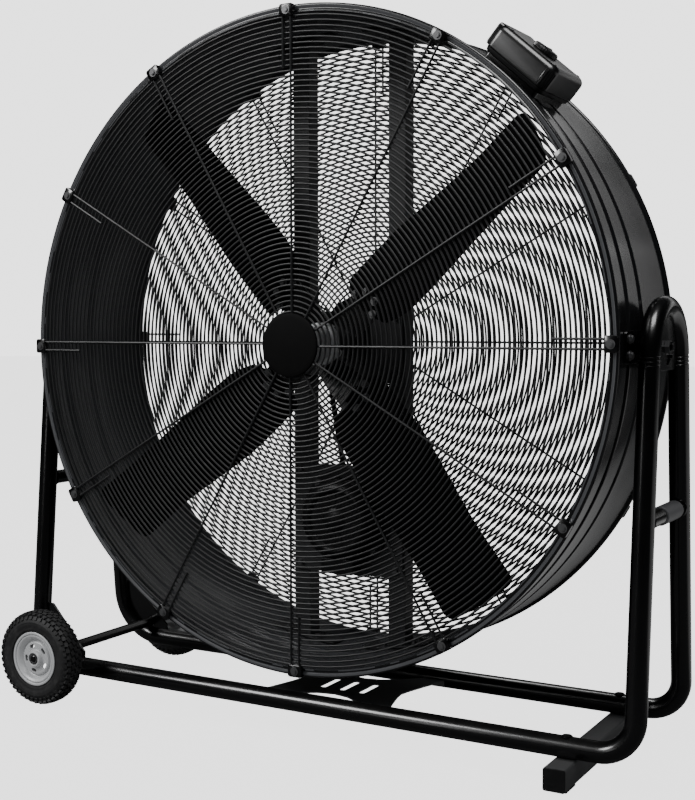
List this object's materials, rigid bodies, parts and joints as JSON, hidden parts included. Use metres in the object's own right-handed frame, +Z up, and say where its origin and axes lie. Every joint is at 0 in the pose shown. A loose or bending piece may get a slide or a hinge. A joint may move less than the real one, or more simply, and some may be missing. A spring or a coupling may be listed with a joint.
{
  "type": "drum fan",
  "caption": "Large belt-driven drum fan with a tilting barrel, round wire grilles and a tubular stand on two wheels and a foot bar.",
  "frame": {"origin": "on the floor, under the middle of the drum", "axes": "+X towards the foot bar's end, -X towards the wheels, -Y the way the air leaves, +Z up"},
  "size_m": [1.356, 0.5046, 1.38],
  "materials": {
    "frame_paint": "black semi-gloss powder coat",
    "drum_paint": "black satin powder coat on rolled sheet",
    "blade_paint": "black satin powder coat on pressed sheet",
    "grille_wire": "black coated wire",
    "motor_paint": "dark satin enamel",
    "hub_steel": "dark satin coat",
    "rim_paint": "light grey enamel on pressed steel",
    "black_plastic": "matte moulded",
    "rubber": "matte",
    "tyre": "matte with moulded tread",
    "bright_steel": "zinc-plated",
    "cast_iron": "dark, as cast"
  },
  "bodies": {
    "stand": {"front_frame_tube": "frame_paint", "rear_frame_tube": "frame_paint", "left_bow": "frame_paint", "right_bow": "frame_paint", "left_pivot_plate": "frame_paint", "right_pivot_plate": "frame_paint", "left_brace": "frame_paint", "right_brace": "frame_paint", "cross_plate": "frame_paint", "foot_bar": "frame_paint", "front_bar_cap": "black_plastic", "rear_bar_cap": "black_plastic", "front_foot_pad": "rubber", "rear_foot_pad": "rubber", "axle": "frame_paint", "front_gusset": "frame_paint", "rear_gusset": "frame_paint", "front_axle_nut": "bright_steel", "rear_axle_nut": "bright_steel"},
    "drum": {"drum_shell": "drum_paint", "front_grille": "grille_wire", "rear_grille": "grille_wire", "centre_disc": "black_plastic", "left_rail": "frame_paint", "right_rail": "frame_paint", "upper_left_rail_foot": "frame_paint", "lower_left_rail_foot": "frame_paint", "upper_right_rail_foot": "frame_paint", "lower_right_rail_foot": "frame_paint", "left_drum_pivot": "frame_paint", "right_drum_pivot": "frame_paint", "left_pivot_nut": "bright_steel", "right_pivot_nut": "bright_steel", "bearing_plate": "frame_paint", "front_bearing": "cast_iron", "rear_bearing": "cast_iron", "motor_plate": "frame_paint", "motor_casing": "motor_paint", "motor_end_bell": "motor_paint", "terminal_box": "motor_paint", "drive_belt": "rubber", "switch_bracket": "frame_paint", "switch_box": "black_plastic", "switch_lid": "black_plastic", "cable_gland": "black_plastic"},
    "rotor": {"blade_1": "blade_paint", "blade_2": "blade_paint", "blade_3": "blade_paint", "blade_4": "blade_paint", "hub_spider": "hub_steel", "fan_shaft": "bright_steel", "fan_pulley": "cast_iron"},
    "motor_rotor": {"motor_shaft": "bright_steel", "motor_pulley": "cast_iron"},
    "front_wheel": {"front_tyre": "tyre", "front_wheel_rim": "rim_paint"},
    "rear_wheel": {"rear_tyre": "tyre", "rear_wheel_rim": "rim_paint"},
    "knob": {"switch_knob": "black_plastic"}
  },
  "joints": [
    {"name": "drum_tilt", "type": "hinge", "parent": "stand", "child": "drum", "pos_m": [0, 0, 0.75], "axis": [1, 0, 0], "range_deg": [-30, 30]},
    {"name": "fan_spin", "type": "hinge", "parent": "drum", "child": "rotor", "pos_m": [0, 0, 0.75], "axis": [0, 1, 0], "continuous": true},
    {"name": "motor_spin", "type": "hinge", "parent": "drum", "child": "motor_rotor", "pos_m": [0, 0, 0.398], "axis": [0, 1, 0], "continuous": true},
    {"name": "front_wheel_spin", "type": "hinge", "parent": "stand", "child": "front_wheel", "pos_m": [-0.58, -0.227, 0.098], "axis": [0, 1, 0], "continuous": true},
    {"name": "rear_wheel_spin", "type": "hinge", "parent": "stand", "child": "rear_wheel", "pos_m": [-0.58, 0.227, 0.098], "axis": [0, 1, 0], "continuous": true},
    {"name": "knob_turn", "type": "hinge", "parent": "drum", "child": "knob", "pos_m": [0.44779, -0.036, 1.26877], "axis": [0.6534, 0, 0.757], "range_deg": [-90, 0]}
  ],
  "couplings": [
    {"joint": "motor_spin", "follows": "fan_spin", "ratio": 2.9375}
  ]
}
